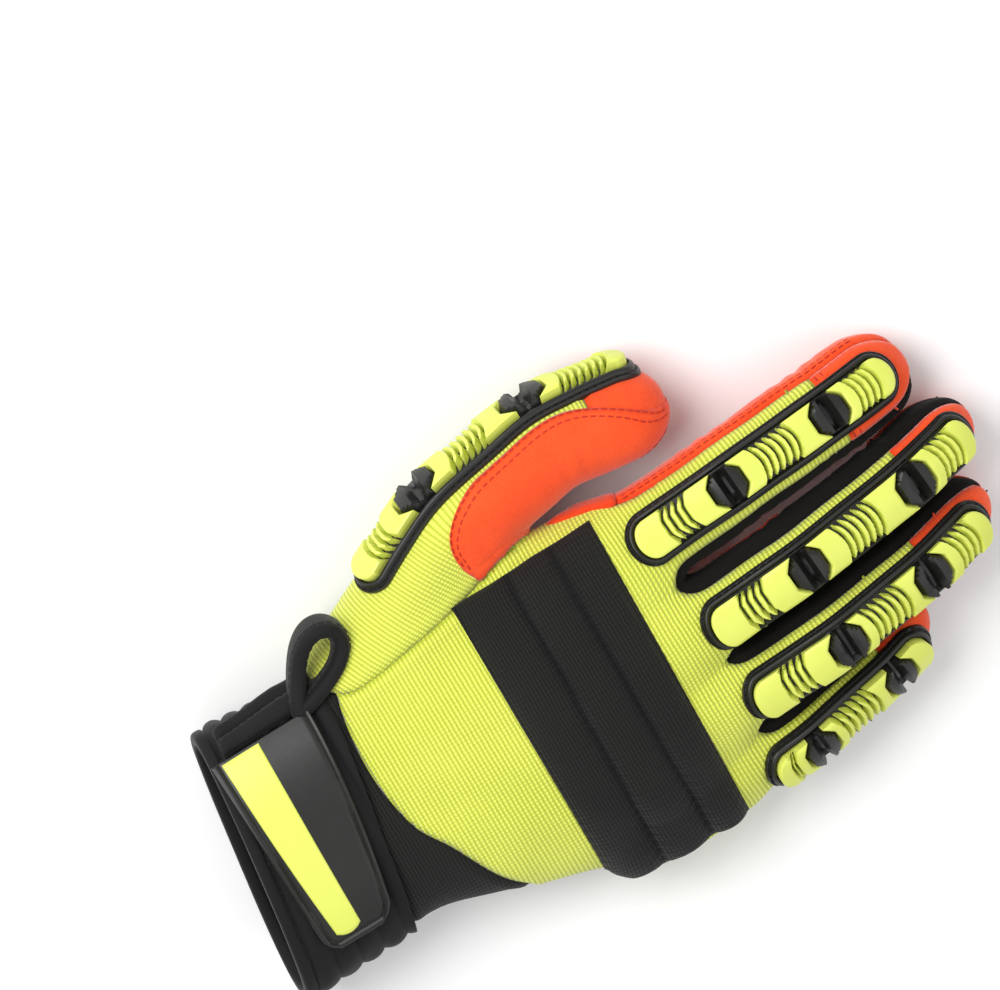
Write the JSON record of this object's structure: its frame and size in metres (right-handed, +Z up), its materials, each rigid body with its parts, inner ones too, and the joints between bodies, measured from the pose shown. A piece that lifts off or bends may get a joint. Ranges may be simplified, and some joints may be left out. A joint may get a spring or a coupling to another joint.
{
  "type": "impact work glove",
  "caption": "Right-hand impact work glove lying palm down: knit back with padded knuckles, moulded finger guards, suede palm patches, quilted cuff with closure strap and pull loop.",
  "frame": {"origin": "under the middle of the glove's outline, on the surface it lies on", "axes": "+X from the cuff to the fingertips, +Y to the thumb side, +Z up through the back of the hand"},
  "size_m": [0.2644, 0.154, 0.0516],
  "materials": {
    "lime_knit": "matte ribbed knit, bright yellow-green",
    "lime_rubber": "satin moulded rubber, bright yellow-green",
    "black_knit": "matte ribbed knit, black",
    "black_suede": "matte synthetic suede, black",
    "black_neoprene": "matte foam-backed cloth, black",
    "black_rubber": "satin moulded rubber, black",
    "orange_suede": "matte synthetic suede, orange-red"
  },
  "bodies": {
    "root": {"back_panel": "lime_knit", "wrist_elastic": "black_knit", "palm_panel": "black_suede", "index_tip_back": "orange_suede", "middle_tip_back": "orange_suede", "ring_tip_back": "orange_suede", "little_tip_back": "orange_suede", "index_side": "orange_suede", "fourchette_index_middle": "black_suede", "fourchette_middle_ring": "black_suede", "fourchette_ring_little": "black_suede", "little_side": "black_suede", "thumb_back": "lime_knit", "thumb_front": "black_suede", "thumb_tip": "orange_suede", "index_front_patch": "orange_suede", "middle_bar_patch": "orange_suede", "middle_tip_patch": "orange_suede", "ring_bar_patch": "orange_suede", "ring_tip_patch": "orange_suede", "little_tip_patch": "orange_suede", "upper_palm_pad": "orange_suede", "centre_palm_pad": "orange_suede", "thumb_palm_pad": "orange_suede", "heel_patch": "black_suede", "thumb_saddle": "orange_suede", "knuckle_pad": "black_knit", "thumb_guard_base": "black_rubber", "thumb_guard_proximal": "lime_rubber", "thumb_guard_middle": "lime_rubber", "thumb_guard_distal": "lime_rubber", "index_guard_base": "black_rubber", "index_guard_proximal": "lime_rubber", "index_guard_middle": "lime_rubber", "index_guard_distal": "lime_rubber", "middle_guard_base": "black_rubber", "middle_guard_proximal": "lime_rubber", "middle_guard_middle": "lime_rubber", "middle_guard_distal": "lime_rubber", "ring_guard_base": "black_rubber", "ring_guard_proximal": "lime_rubber", "ring_guard_middle": "lime_rubber", "ring_guard_distal": "lime_rubber", "little_guard_base": "black_rubber", "little_guard_proximal": "lime_rubber", "little_guard_middle": "lime_rubber", "little_guard_distal": "lime_rubber", "cuff_band": "black_neoprene", "cuff_binding": "black_neoprene", "closure_strap": "black_rubber", "strap_stripe": "lime_rubber", "flap_edge": "black_neoprene", "pull_loop": "black_neoprene", "pull_tab": "black_knit"}
  },
  "joints": []
}
